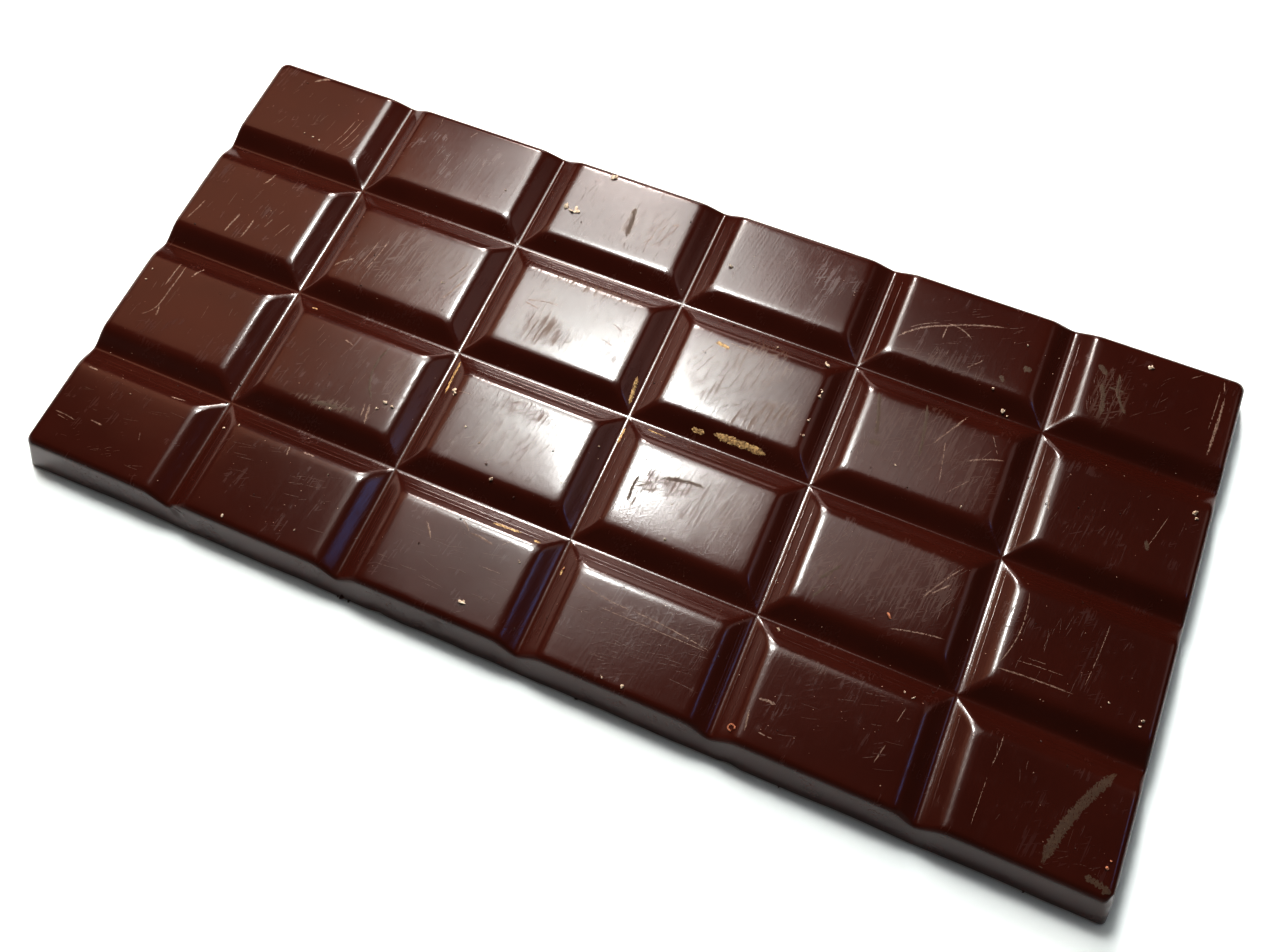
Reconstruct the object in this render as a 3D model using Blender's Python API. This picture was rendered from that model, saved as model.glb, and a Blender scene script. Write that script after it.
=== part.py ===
"""A moulded bar of plain dark chocolate: a grid of raised blocks on one solid base.

Metres, +Z up. The origin is at the middle of the flat base. The length runs along X, the
width along Y, and the blocks face up. All sides lean inwards, as they must to leave a mould.
"""

import math

import bmesh
import bpy

MM = 0.001

# The whole bar, measured at its base.
BAR_LENGTH = 161.5 * MM
BAR_WIDTH = 78.2 * MM
BAR_HEIGHT = 6.8 * MM
SIDE_LEAN = 1.97 * MM
SIDE_EDGE_RADIUS = 1.2 * MM
SIDE_CORNER_RADIUS = 1.3 * MM

# The grid of blocks, counted along the length and the width.
COLUMNS = 6
ROWS = 4
COLUMN_PITCH = 27.42 * MM
ROW_PITCH = 20.04 * MM

# The grooves between the blocks. The shoulder is the rounded upper edge along a groove.
GROOVE_DEPTH = 1.75 * MM
GROOVE_SLOPE = math.radians(32)
VALLEY_RADIUS = 0.7 * MM
SHOULDER_RADIUS = 1.6 * MM
BLOCK_CORNER_RADIUS = 1.1 * MM

# How finely the round stretches are divided.
SHOULDER_STEPS = 4
SIDE_STEPS = 3
VALLEY_STEPS = 2
CORNER_STEPS = 2
WELD_DISTANCE = 0.001 * MM
SHARP_ANGLE = math.radians(40)

# The look of the chocolate.
CHOCOLATE_COLOUR = (0.050, 0.017, 0.011, 1.0)
CHOCOLATE_ROUGHNESS = 0.3

# Derived sizes.
SIDE_SLOPE = math.atan2(BAR_HEIGHT, SIDE_LEAN)
SHOULDER_DROP = SHOULDER_RADIUS * (1 - math.cos(GROOVE_SLOPE))
VALLEY_RISE = VALLEY_RADIUS * (1 - math.cos(GROOVE_SLOPE))
GROOVE_HALF_WIDTH = (
    (SHOULDER_RADIUS + VALLEY_RADIUS) * math.sin(GROOVE_SLOPE)
    + (GROOVE_DEPTH - SHOULDER_DROP - VALLEY_RISE) / math.tan(GROOVE_SLOPE)
)


def clear_scene():
    for obj in list(bpy.data.objects):
        bpy.data.objects.remove(obj, do_unlink=True)


def steps_between(start, end, steps):
    """Evenly spaced values from start to end, with both included."""
    return [start + (end - start) * step / steps for step in range(steps + 1)]


def outline_drops():
    """Depths below the top at which the blocks are outlined, down to the valley."""
    shoulder = steps_between(0, GROOVE_SLOPE, SHOULDER_STEPS)
    side_start = math.acos(1 - SHOULDER_DROP / SIDE_EDGE_RADIUS)
    side = steps_between(side_start, SIDE_SLOPE, SIDE_STEPS)[1:]
    valley = steps_between(GROOVE_SLOPE, 0, VALLEY_STEPS)
    drops = [SHOULDER_RADIUS * (1 - math.cos(angle)) for angle in shoulder]
    drops += [SIDE_EDGE_RADIUS * (1 - math.cos(angle)) for angle in side]
    drops += [GROOVE_DEPTH - VALLEY_RADIUS * (1 - math.cos(angle)) for angle in valley]
    return drops


def setback(drop, slope, radius):
    """Distance sideways from the flat top to a wall with a rounded edge, at a depth."""
    arc_drop = radius * (1 - math.cos(slope))
    if drop <= arc_drop:
        return math.sqrt(radius**2 - (radius - drop) ** 2)
    return radius * math.sin(slope) + (drop - arc_drop) / math.tan(slope)


def groove_half_width(drop):
    """Distance from the middle of a groove to its wall, at a depth below the top."""
    height = GROOVE_DEPTH - drop
    if height < VALLEY_RISE:
        return math.sqrt(max(0, VALLEY_RADIUS**2 - (VALLEY_RADIUS - height) ** 2))
    return GROOVE_HALF_WIDTH - setback(drop, GROOVE_SLOPE, SHOULDER_RADIUS)


def side_inset(drop):
    """Distance from the edge of the base to the bar's side, at a depth below the top."""
    flat_edge = SIDE_LEAN + SIDE_EDGE_RADIUS * math.tan(SIDE_SLOPE / 2)
    return flat_edge - setback(drop, SIDE_SLOPE, SIDE_EDGE_RADIUS)


def block_span(index, count, pitch, bar_size, drop):
    """Lowest and highest coordinate of one block along one axis, at a depth."""
    low = (index - count / 2) * pitch + groove_half_width(drop)
    high = (index + 1 - count / 2) * pitch - groove_half_width(drop)
    if index == 0:
        low = side_inset(drop) - bar_size / 2
    if index == count - 1:
        high = bar_size / 2 - side_inset(drop)
    return low, high


def is_bar_corner(column, row, right, back):
    """Whether this corner of a block is also a corner of the whole bar."""
    outer_column = COLUMNS - 1 if right else 0
    outer_row = ROWS - 1 if back else 0
    return column == outer_column and row == outer_row


def block_outline(column, row, drop):
    """Points of one block's rounded outline at a depth, anticlockwise from above."""
    left_x, right_x = block_span(column, COLUMNS, COLUMN_PITCH, BAR_LENGTH, drop)
    front_y, back_y = block_span(row, ROWS, ROW_PITCH, BAR_WIDTH, drop)
    corners = [(True, True), (False, True), (False, False), (True, False)]
    points = []
    for quarter, (right, back) in enumerate(corners):
        radius = BLOCK_CORNER_RADIUS * (1 - drop / GROOVE_DEPTH)
        if is_bar_corner(column, row, right, back):
            radius = SIDE_CORNER_RADIUS
        centre_x = right_x - radius if right else left_x + radius
        centre_y = back_y - radius if back else front_y + radius
        start = quarter * math.pi / 2
        for angle in steps_between(start, start + math.pi / 2, CORNER_STEPS):
            x = centre_x + radius * math.cos(angle)
            y = centre_y + radius * math.sin(angle)
            points.append((x, y, BAR_HEIGHT - drop))
    return points


def add_block(bm, column, row):
    """Adds one block's top and walls, from its flat top down to the valleys round it."""
    rings = []
    for drop in outline_drops():
        outline = block_outline(column, row, drop)
        rings.append([bm.verts.new(point) for point in outline])
    bm.faces.new(rings[0])
    for upper, lower in zip(rings, rings[1:]):
        for here in range(len(upper)):
            after = (here + 1) % len(upper)
            bm.faces.new((upper[here], lower[here], lower[after], upper[after]))


def add_base(bm):
    """Carries the outline at the depth of the grooves down and out to the flat base."""
    rim = [edge for edge in bm.edges if edge.is_boundary]
    extruded = bmesh.ops.extrude_edge_only(bm, edges=rim)["geom"]
    growth = side_inset(GROOVE_DEPTH)
    straight_x = BAR_LENGTH / 2 - growth - SIDE_CORNER_RADIUS
    straight_y = BAR_WIDTH / 2 - growth - SIDE_CORNER_RADIUS
    for vert in extruded:
        if not isinstance(vert, bmesh.types.BMVert):
            continue
        if abs(vert.co.x) > straight_x - WELD_DISTANCE:
            vert.co.x += math.copysign(growth, vert.co.x)
        if abs(vert.co.y) > straight_y - WELD_DISTANCE:
            vert.co.y += math.copysign(growth, vert.co.y)
        vert.co.z = 0
    base_edges = [edge for edge in bm.edges if edge.is_boundary]
    bmesh.ops.contextual_create(bm, geom=base_edges)


def make_chocolate_material():
    material = bpy.data.materials.new("dark_chocolate")
    material.use_nodes = True
    shader = material.node_tree.nodes["Principled BSDF"]
    shader.inputs["Base Color"].default_value = CHOCOLATE_COLOUR
    shader.inputs["Roughness"].default_value = CHOCOLATE_ROUGHNESS
    shader.inputs["Metallic"].default_value = 0
    material.diffuse_color = CHOCOLATE_COLOUR
    return material


def make_bar():
    bm = bmesh.new()
    for column in range(COLUMNS):
        for row in range(ROWS):
            add_block(bm, column, row)
    bmesh.ops.remove_doubles(bm, verts=bm.verts, dist=WELD_DISTANCE)
    add_base(bm)
    bmesh.ops.recalc_face_normals(bm, faces=bm.faces)
    mesh = bpy.data.meshes.new("chocolate_bar")
    bm.to_mesh(mesh)
    bm.free()
    mesh.shade_smooth()
    mesh.set_sharp_from_angle(angle=SHARP_ANGLE)
    mesh.materials.append(make_chocolate_material())
    bar = bpy.data.objects.new("chocolate_bar", mesh)
    bpy.context.scene.collection.objects.link(bar)
    return bar


clear_scene()
make_bar()
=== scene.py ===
"""The look of a moulded bar of plain dark chocolate, handled and lightly scuffed.

The frame's own solid gives the size. It is replaced by a finer bar of the same form, with soft
shoulders, edges that roll over at the groove ends, small chips and an uneven lower edge.
Lengths below are in millimetres, and become metres when a mesh, light or camera is made.
"""

import math

import bmesh
import bpy
import numpy as np
from mathutils import Matrix, Vector


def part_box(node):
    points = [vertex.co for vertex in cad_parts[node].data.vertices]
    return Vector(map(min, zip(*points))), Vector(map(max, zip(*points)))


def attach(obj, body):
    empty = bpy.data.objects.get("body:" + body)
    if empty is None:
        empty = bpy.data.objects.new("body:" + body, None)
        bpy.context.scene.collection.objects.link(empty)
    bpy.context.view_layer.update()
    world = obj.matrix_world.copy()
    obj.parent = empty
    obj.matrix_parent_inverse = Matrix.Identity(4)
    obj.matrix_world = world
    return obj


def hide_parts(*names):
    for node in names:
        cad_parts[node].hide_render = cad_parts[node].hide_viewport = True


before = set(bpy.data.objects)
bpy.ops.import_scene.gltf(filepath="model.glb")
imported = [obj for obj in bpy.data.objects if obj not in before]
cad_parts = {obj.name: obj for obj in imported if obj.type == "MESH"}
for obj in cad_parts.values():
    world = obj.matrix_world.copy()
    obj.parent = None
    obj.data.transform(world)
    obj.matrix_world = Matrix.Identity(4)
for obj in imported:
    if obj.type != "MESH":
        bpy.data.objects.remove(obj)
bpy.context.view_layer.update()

MM = 0.001

# The form, as the frame's solid has it. Its overall size is read from the frame.
box_low, box_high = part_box("chocolate_bar")
BAR_LENGTH = (box_high[0] - box_low[0]) / MM
BAR_WIDTH = (box_high[1] - box_low[1]) / MM
BAR_HEIGHT = (box_high[2] - box_low[2]) / MM
SIDE_LEAN = 1.97
COLUMNS, ROWS = 6, 4
COLUMN_PITCH, ROW_PITCH = 27.42, 20.04
GROOVE_DEPTH = 1.75
GROOVE_HALF_WIDTH = 3.03
VALLEY_SOFTNESS = 0.62
SHOULDER_SOFTNESS = 0.26

# The fine mesh: a grid over the top, and rings from it down the sides.
GRID_INSET = 1.9
GRID_CORNER = 0.8
TOP_CORNER_RADIUS = 1.3
BASE_CORNER_RADIUS = 0.8
EDGE_RADIUS = 1.2
NOTCH_EDGE_RADIUS = 0.8
BASE_EDGE_RADIUS = 0.3

SEED = 7


def smooth_noise(x, y, cell, seed):
    """Smooth random values from -1 to 1 that change over the given cell size."""
    table = np.random.default_rng(seed).uniform(-1, 1, (256, 256))
    u, v = x / cell + 57.3, y / cell + 91.7
    i, j = np.floor(u).astype(int), np.floor(v).astype(int)
    fu, fv = u - i, v - j
    fu, fv = fu * fu * (3 - 2 * fu), fv * fv * (3 - 2 * fv)
    low = table[i % 256, j % 256] * (1 - fu) + table[(i + 1) % 256, j % 256] * fu
    high = table[i % 256, (j + 1) % 256] * (1 - fu) + table[(i + 1) % 256, (j + 1) % 256] * fu
    return low * (1 - fv) + high * fv


def smooth_step(value):
    value = np.clip(value, 0, 1)
    return value * value * (3 - 2 * value)


def nearest_groove(coordinate, count, pitch):
    """Distance from the nearest groove that crosses this axis."""
    centres = np.array([(number - count / 2) * pitch for number in range(1, count)])
    return np.min(np.abs(np.asarray(coordinate)[..., None] - centres), axis=-1)


def groove_drop(distance):
    """How far the surface lies below the flat top, at a distance from a groove's middle."""
    full = math.hypot(GROOVE_HALF_WIDTH, VALLEY_SOFTNESS) - VALLEY_SOFTNESS
    rise = GROOVE_DEPTH * (np.hypot(distance, VALLEY_SOFTNESS) - VALLEY_SOFTNESS) / full
    return SHOULDER_SOFTNESS * np.logaddexp(0, (GROOVE_DEPTH - rise) / SHOULDER_SOFTNESS)


def top_drop(x, y):
    """How far the moulded face lies below the flat tops of the blocks."""
    across = nearest_groove(x, COLUMNS, COLUMN_PITCH)
    along = nearest_groove(y, ROWS, ROW_PITCH)
    nearer = np.minimum(across, along)
    blend = 0.08 + 0.42 * np.clip(nearer - 0.3, 0, 3)
    gap = np.clip(1 - np.abs(across - along) / blend, 0, 1)
    return groove_drop(nearer - gap * gap * blend / 4)


def unevenness(x, y):
    """The slight waviness of a face that shrank as it set."""
    return 0.022 * smooth_noise(x, y, 9, SEED) + 0.006 * smooth_noise(x, y, 3.1, SEED + 1)


def top_height(x, y):
    return BAR_HEIGHT - top_drop(x, y) + unevenness(x, y)


def stations(count, pitch, half_size):
    """Grid lines along one axis: close together in the grooves, wider on the flats."""
    groove = np.array([0, 0.09, 0.18, 0.28, 0.4, 0.6, 0.95, 1.35, 1.75, 2.1])
    shoulder = np.linspace(2.35, 4.3, 14)
    fine = np.concatenate([groove, shoulder])
    lines = []
    for number in range(1, count):
        centre = (number - count / 2) * pitch
        lines += list(centre + fine) + list(centre - fine)
    corner = half_size - GRID_CORNER
    lines += list(np.linspace(corner, half_size, 5)) + list(-np.linspace(corner, half_size, 5))
    lines = np.unique(np.round(lines, 4))
    filled = [lines[0]]
    for line in lines[1:]:
        steps = max(1, math.ceil((line - filled[-1]) / 0.95))
        filled += list(np.linspace(filled[-1], line, steps + 1)[1:])
    return np.array(filled)


def round_grid_corners(x, y, half_x, half_y):
    """Bends the square corners of the grid into quarter circles."""
    u = (np.abs(x) - (half_x - GRID_CORNER)) / GRID_CORNER
    v = (np.abs(y) - (half_y - GRID_CORNER)) / GRID_CORNER
    corner = (u > 0) & (v > 0)
    u, v = np.clip(u, 0, 1), np.clip(v, 0, 1)
    bent_x = half_x - GRID_CORNER + GRID_CORNER * u * np.sqrt(1 - v * v / 2)
    bent_y = half_y - GRID_CORNER + GRID_CORNER * v * np.sqrt(1 - u * u / 2)
    return np.where(corner, np.sign(x) * bent_x, x), np.where(corner, np.sign(y) * bent_y, y)


def corner_radius(offset):
    """Radius of the bar's upright corners, at an offset outside the grid."""
    out = [0, GRID_INSET, GRID_INSET + SIDE_LEAN]
    return np.interp(offset, out, [GRID_CORNER, TOP_CORNER_RADIUS, BASE_CORNER_RADIUS])


def ring_plan(x, y, half_x, half_y, offset):
    """Where the grid's boundary points lie once moved outwards by an offset each."""
    radius = corner_radius(offset)
    centre_x, centre_y = half_x - GRID_CORNER, half_y - GRID_CORNER
    shift = offset - radius + GRID_CORNER
    over_x, over_y = np.abs(x) - centre_x, np.abs(y) - centre_y
    corner = (over_x > -1e-6) & (over_y > -1e-6)
    on_end = ~corner & (over_x > over_y)
    reach = 8.0
    stretch_x = shift * np.clip((over_x + reach) / reach, 0, 1) ** 2
    stretch_y = shift * np.clip((over_y + reach) / reach, 0, 1) ** 2
    length = np.hypot(over_x, over_y) + 1e-12
    out_x = np.where(corner, centre_x + shift + radius * over_x / length, np.abs(x) + stretch_x)
    out_y = np.where(corner, centre_y + shift + radius * over_y / length, np.abs(y) + stretch_y)
    out_x = np.where(on_end, half_x + offset, out_x)
    out_y = np.where(~corner & ~on_end, half_y + offset, out_y)
    return np.sign(x) * out_x, np.sign(y) * out_y


def side_profile(drop):
    """Offsets and heights of the rings round the bar, from the grid's edge to the base.

    drop is how far each boundary point lies below the flat top, so a groove's end rolls
    over into the leaning side as the blocks' own edges do.
    """
    slope = math.atan2(BAR_HEIGHT, SIDE_LEAN)
    top = BAR_HEIGHT - drop
    edge = GRID_INSET + drop * SIDE_LEAN / BAR_HEIGHT
    in_notch = np.clip(drop / GROOVE_DEPTH, 0, 1)
    radius = EDGE_RADIUS + (NOTCH_EDGE_RADIUS - EDGE_RADIUS) * in_notch
    start = edge - radius * math.tan(slope / 2)
    rings = [(start * 0.5, top)]
    for angle in np.linspace(0, slope, 10):
        rings.append((start + radius * math.sin(angle), top - radius * (1 - math.cos(angle))))
    wall_out, wall_top = rings[-1]
    base_out = GRID_INSET + SIDE_LEAN
    centre_out = base_out - BASE_EDGE_RADIUS * (1 + math.cos(slope)) / math.sin(slope)
    foot_out = centre_out + BASE_EDGE_RADIUS * math.sin(slope)
    foot_top = BASE_EDGE_RADIUS * (1 + math.cos(slope))
    for part in np.linspace(0, 1, 9)[1:]:
        rings.append((wall_out + (foot_out - wall_out) * part, wall_top + (foot_top - wall_top) * part))
    for angle in np.linspace(slope, math.pi, 5)[1:]:
        out = centre_out + BASE_EDGE_RADIUS * math.sin(angle) + 0 * drop
        rings.append((out, BASE_EDGE_RADIUS * (1 + math.cos(angle)) + 0 * drop))
    rings.append((centre_out - 2.5 + 0 * drop, 0 * drop))
    return rings


def grid_boundary(index):
    """The outermost grid points in order, anticlockwise from above."""
    return np.concatenate([index[:-1, 0], index[-1, :-1], index[:0:-1, -1], index[0, :0:-1]])


# Chips and dents on edges: place, reach and depth.
CHIPS = [
    ((-53.5, -38.2, 4.6), 1.1, 0.35),
    ((-12.0, -38.3, 4.3), 1.5, 0.30),
    ((-9.2, -38.4, 4.5), 0.9, 0.30),
    ((79.0, -36.6, 5.9), 0.9, 0.25),
    ((-21.5, -38.9, 0.8), 1.2, 0.25),
    ((31.0, -39.0, 0.6), 1.3, 0.22),
    ((-79.2, 12.4, 5.4), 0.7, 0.20),
    ((79.2, 14.0, 5.6), 0.8, 0.20),
    ((-25.0, 38.0, 5.5), 0.9, 0.22),
    ((47.0, 38.3, 4.9), 1.2, 0.25),
]


def make_bar():
    half_x = BAR_LENGTH / 2 - SIDE_LEAN - GRID_INSET
    half_y = BAR_WIDTH / 2 - SIDE_LEAN - GRID_INSET
    grid_x, grid_y = np.meshgrid(
        stations(COLUMNS, COLUMN_PITCH, half_x),
        stations(ROWS, ROW_PITCH, half_y),
        indexing="ij",
    )
    index = np.arange(grid_x.size).reshape(grid_x.shape)
    x, y = round_grid_corners(grid_x, grid_y, half_x, half_y)
    points = [np.stack([x, y, top_height(x, y)], axis=-1).reshape(-1, 3)]
    quads = [
        np.stack([index[:-1, :-1], index[1:, :-1], index[1:, 1:], index[:-1, 1:]], -1).reshape(-1, 4)
    ]
    loop = grid_boundary(index)
    rim_x, rim_y = points[0][loop, 0], points[0][loop, 1]
    drop = BAR_HEIGHT - points[0][loop, 2]
    inner = loop
    total = grid_x.size
    rings = side_profile(drop)
    for number, (offset, height) in enumerate(rings):
        depth = 1 - np.clip(height / BAR_HEIGHT, 0, 1)
        place = rim_x + 1.7 * rim_y
        wave = 0.10 * smooth_noise(place, height, 11, SEED + 2)
        wave += 0.07 * smooth_noise(place, height, 3.3, SEED + 3)
        ring_x, ring_y = ring_plan(rim_x, rim_y, half_x, half_y, offset + wave * depth**1.5)
        points.append(np.stack([ring_x, ring_y, height], axis=-1))
        outer = total + np.arange(len(loop))
        total += len(loop)
        quads.append(np.stack([inner, outer, np.roll(outer, -1), np.roll(inner, -1)], -1))
        inner = outer
    points = np.concatenate(points)
    quads = np.concatenate(quads)
    faces = quads.tolist() + [inner[::-1].tolist()]
    mesh = bpy.data.meshes.new("bar_fine")
    mesh.from_pydata((points * MM).tolist(), [], faces)
    mesh.update()
    dent(mesh, points)
    mesh.shade_smooth()
    bar = bpy.data.objects.new("bar_fine", mesh)
    bpy.context.scene.collection.objects.link(bar)
    return bar


def dent(mesh, points):
    """Pushes the chips in along the surface's own normals."""
    normals = np.empty(len(points) * 3)
    mesh.vertices.foreach_get("normal", normals)
    normals = normals.reshape(-1, 3)
    for place, reach, depth in CHIPS:
        offset = points - np.array(place)
        ragged = 1 + 0.35 * smooth_noise(points[:, 0], points[:, 2] + points[:, 1], 0.7, SEED + 4)
        near = smooth_step(1.15 - np.linalg.norm(offset, axis=1) / (reach * ragged))
        points -= normals * (near * depth)[:, None]
    mesh.vertices.foreach_set("co", (points * MM).ravel())
    mesh.update()


bar = make_bar()
print("bar triangles", sum(len(face.vertices) - 2 for face in bar.data.polygons))


# Marks and crumbs --------------------------------------------------------------------------


class Gathered:
    """Points and faces of many small bits that become one mesh."""

    def __init__(self, name):
        self.name = name
        self.points, self.faces, self.count = [], [], 0

    def add(self, points, faces):
        self.points.append(np.asarray(points, float))
        self.faces += (np.asarray(faces) + self.count).tolist()
        self.count += len(points)

    def finish(self, material, smooth=True):
        mesh = bpy.data.meshes.new(self.name)
        mesh.from_pydata((np.concatenate(self.points) * MM).tolist(), [], self.faces)
        mesh.update()
        if smooth:
            mesh.shade_smooth()
        mesh.materials.append(material)
        piece = bpy.data.objects.new(self.name, mesh)
        bpy.context.scene.collection.objects.link(piece)
        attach(piece, "root")
        return piece


# How far the rims of the low ridges lie under the face, in millimetres.
RIM_SINK = 0.008


def bent_line(start, end, bend, step):
    """Points along a line whose middle is pushed sideways by a distance."""
    start, end = np.array(start, float), np.array(end, float)
    along = end - start
    length = np.hypot(*along)
    part = np.linspace(0, 1, max(4, math.ceil(length / step)) + 1)[:, None]
    side = np.array([-along[1], along[0]]) / length
    return start + along * part + side * bend * 4 * part * (1 - part)


def lay_ribbon(bits, line, width, lift, rng, gaps=0.25, cell=0.12):
    """Lays a ragged low ridge along a line on the moulded face.

    Its rim lies just under the face, and so do the points that break it up, so it stays one sheet.
    """
    along = np.gradient(line, axis=0)
    side = np.stack([-along[:, 1], along[:, 0]], -1) / np.hypot(*along.T)[:, None]
    part = np.linspace(0, 1, len(line))
    taper = np.minimum(1, 5 * np.minimum(part, 1 - part) + 0.25)
    ragged = 1 + 0.3 * rng.uniform(-1, 1, len(line))
    lanes = max(3, 2 * math.ceil(width / cell / 2) + 1)
    across = np.linspace(-1, 1, lanes)
    half = (width / 2 * taper * ragged)[:, None]
    x = line[:, :1] + side[:, :1] * half * across
    y = line[:, 1:] + side[:, 1:] * half * across
    crown = (lift + RIM_SINK) * np.minimum(1, 1.6 * (1 - np.abs(across))) * taper[:, None]
    broken = rng.uniform(0, 1, x.shape) < gaps * (0.4 + 0.6 * np.abs(across))
    z = top_height(x, y) + np.where(broken, 0, crown) - RIM_SINK
    index = np.arange(x.size).reshape(x.shape)
    faces = np.stack([index[:-1, :-1], index[1:, :-1], index[1:, 1:], index[:-1, 1:]], -1)
    bits.add(np.stack([x, y, z], -1).reshape(-1, 3), faces.reshape(-1, 4))


# Single scratches: start, end, sideways bend and width.
SCRATCHES = [
    ((-71.7, 35.2), (-69.4, 36.5), 0.2, 0.45),
    ((-61.4, 31.0), (-62.7, 25.4), 0.2, 0.15),
    ((-60.4, 31.2), (-61.8, 25.2), 0.2, 0.15),
    ((-59.6, 28.8), (-60.9, 24.9), 0.2, 0.13),
    ((-76.2, 8.4), (-77.2, 4.3), 0.1, 0.30),
    ((-69.6, 8.2), (-70.3, 4.4), -0.1, 0.34),
    ((-67.1, 8.1), (-67.4, 4.4), 0.1, 0.34),
    ((-68.3, 16.9), (-69.2, 14.4), 0.2, 0.28),
    ((-64.4, 9.2), (-64.9, 7.4), 0.0, 0.15),
    ((-61.4, 9.5), (-62.6, 6.4), 0.0, 0.15),
    ((-73.4, -3.0), (-73.7, -7.5), 0.0, 0.26),
    ((-72.4, -3.0), (-72.8, -11.6), 0.1, 0.28),
    ((-74.4, -13.0), (-72.7, -10.6), -0.3, 0.22),
    ((-72.6, -10.6), (-72.1, -12.5), 0.1, 0.25),
    ((-69.7, -2.5), (-70.7, -4.6), 0.0, 0.32),
    ((-76.9, -23.5), (-75.1, -23.6), 0.0, 0.35),
    ((-77.3, -31.5), (-73.6, -31.7), 0.1, 0.22),
    ((-76.6, -31.9), (-74.6, -32.1), 0.0, 0.15),
    ((-71.5, -30.8), (-69.4, -30.9), 0.0, 0.28),
    ((-62.7, -23.1), (-60.3, -22.8), 0.0, 0.25),
    ((-63.6, -29.7), (-63.1, -30.9), 0.0, 0.18),
    ((-42.6, 34.6), (-41.8, 36.0), 0.1, 0.22),
    ((-48.4, 36.3), (-48.2, 35.2), 0.0, 0.20),
    ((-45.5, 13.0), (-46.5, 6.5), 0.2, 0.20),
    ((-46.9, 12.3), (-47.7, 6.8), 0.1, 0.16),
    ((-51.4, 5.4), (-48.9, 7.7), 0.2, 0.34),
    ((-32.3, 13.5), (-33.9, 9.8), 0.1, 0.28),
    ((-31.4, 11.2), (-33.3, 6.3), 0.1, 0.25),
    ((-34.9, -13.0), (-34.2, -16.2), 0.0, 0.45),
    ((-35.6, -13.2), (-35.2, -15.4), 0.0, 0.28),
    ((-43.5, -5.2), (-41.8, -5.6), 0.1, 0.30),
    ((-42.4, -23.2), (-42.1, -24.7), 0.0, 0.25),
    ((-40.2, -23.3), (-38.3, -23.3), 0.0, 0.30),
    ((-6.9, 31.8), (-9.6, 26.3), 0.4, 0.16),
    ((-8.3, 30.9), (-8.9, 26.0), 0.2, 0.14),
    ((-5.4, 31.8), (-8.3, 26.4), 0.5, 0.16),
    ((-6.2, 31.0), (-5.2, 31.6), 0.3, 0.22),
    ((-21.6, 11.0), (-16.2, 12.0), 0.3, 0.24),
    ((-21.5, 10.8), (-19.0, 10.4), 0.0, 0.22),
    ((-7.9, 12.2), (-6.0, 11.4), 0.2, 0.16),
    ((-8.2, 9.3), (-6.4, 8.8), 0.0, 0.18),
    ((-24.2, -6.3), (-21.8, -6.2), 0.1, 0.12),
    ((-19.1, -25.7), (-17.3, -27.9), 0.1, 0.28),
    ((-14.6, -23.6), (-12.9, -25.0), 0.2, 0.20),
    ((-12.9, -25.0), (-8.9, -25.4), 0.2, 0.26),
    ((-9.6, -28.7), (-6.0, -28.6), 0.0, 0.12),
    ((-8.0, -24.9), (-6.5, -23.4), 0.0, 0.12),
    ((9.2, 15.8), (14.3, 15.6), 0.0, 0.22),
    ((6.5, 9.5), (8.3, 13.8), 0.0, 0.14),
    ((5.2, 11.0), (7.5, 15.0), 0.0, 0.12),
    ((31.2, 25.8), (38.2, 30.5), 0.7, 0.34),
    ((36.5, 29.9), (45.6, 33.2), 0.3, 0.32),
    ((32.4, 27.9), (36.5, 30.4), 0.3, 0.16),
    ((37.4, 30.7), (41.4, 29.4), 0.5, 0.26),
    ((37.5, 30.5), (37.4, 28.0), 0.0, 0.24),
    ((42.0, 24.8), (43.9, 26.8), 0.0, 0.14),
    ((76.5, 33.9), (76.1, 24.1), 0.1, 0.46),
    ((75.7, 34.8), (75.4, 28.0), 0.1, 0.20),
    ((75.9, 36.2), (76.3, 34.6), 0.0, 0.22),
    ((71.5, 35.0), (73.0, 36.2), 0.0, 0.14),
    ((41.4, 12.2), (44.6, 17.9), -0.1, 0.24),
    ((40.9, 11.2), (44.1, 16.6), 0.0, 0.15),
    ((46.3, 10.9), (51.1, 12.9), 0.25, 0.28),
    ((48.4, 16.2), (49.9, 13.4), 0.0, 0.13),
    ((42.7, 12.7), (43.4, 8.6), 0.0, 0.20),
    ((43.3, 9.0), (43.7, 6.6), 0.0, 0.15),
    ((47.6, 8.4), (44.9, 5.2), 0.0, 0.14),
    ((73.5, 13.5), (71.9, 8.2), 0.0, 0.13),
    ((57.9, 11.0), (58.5, 8.0), 0.0, 0.16),
    ((44.0, -15.6), (51.1, -14.2), 0.2, 0.24),
    ((46.4, -10.5), (50.6, -3.8), 0.2, 0.22),
    ((47.6, -9.0), (49.6, -6.8), 0.0, 0.26),
    ((59.3, -3.8), (58.2, -14.6), 0.9, 0.20),
    ((58.2, -15.1), (68.2, -14.7), 0.1, 0.26),
    ((60.0, -13.3), (66.5, -12.9), 0.1, 0.13),
    ((61.5, -12.4), (64.0, -12.3), 0.0, 0.12),
    ((70.1, -4.0), (69.0, -13.4), 0.1, 0.13),
    ((48.3, -29.9), (47.6, -32.6), 0.0, 0.20),
    ((49.2, -24.5), (48.6, -27.0), 0.0, 0.15),
    ((33.0, -34.7), (35.0, -34.8), 0.0, 0.24),
    ((31.6, -30.7), (33.9, -30.6), 0.1, 0.46),
    ((31.0, -32.4), (31.4, -35.2), 0.0, 0.30),
    ((61.5, -22.6), (61.1, -27.4), 0.1, 0.14),
    ((61.0, -28.6), (60.8, -35.0), 0.0, 0.12),
    ((3.9, -25.5), (12.0, -26.4), -0.3, 0.22),
    ((12.0, -26.4), (23.6, -27.5), 0.2, 0.22),
    ((7.0, -27.6), (23.8, -27.7), 0.0, 0.16),
]

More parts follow.
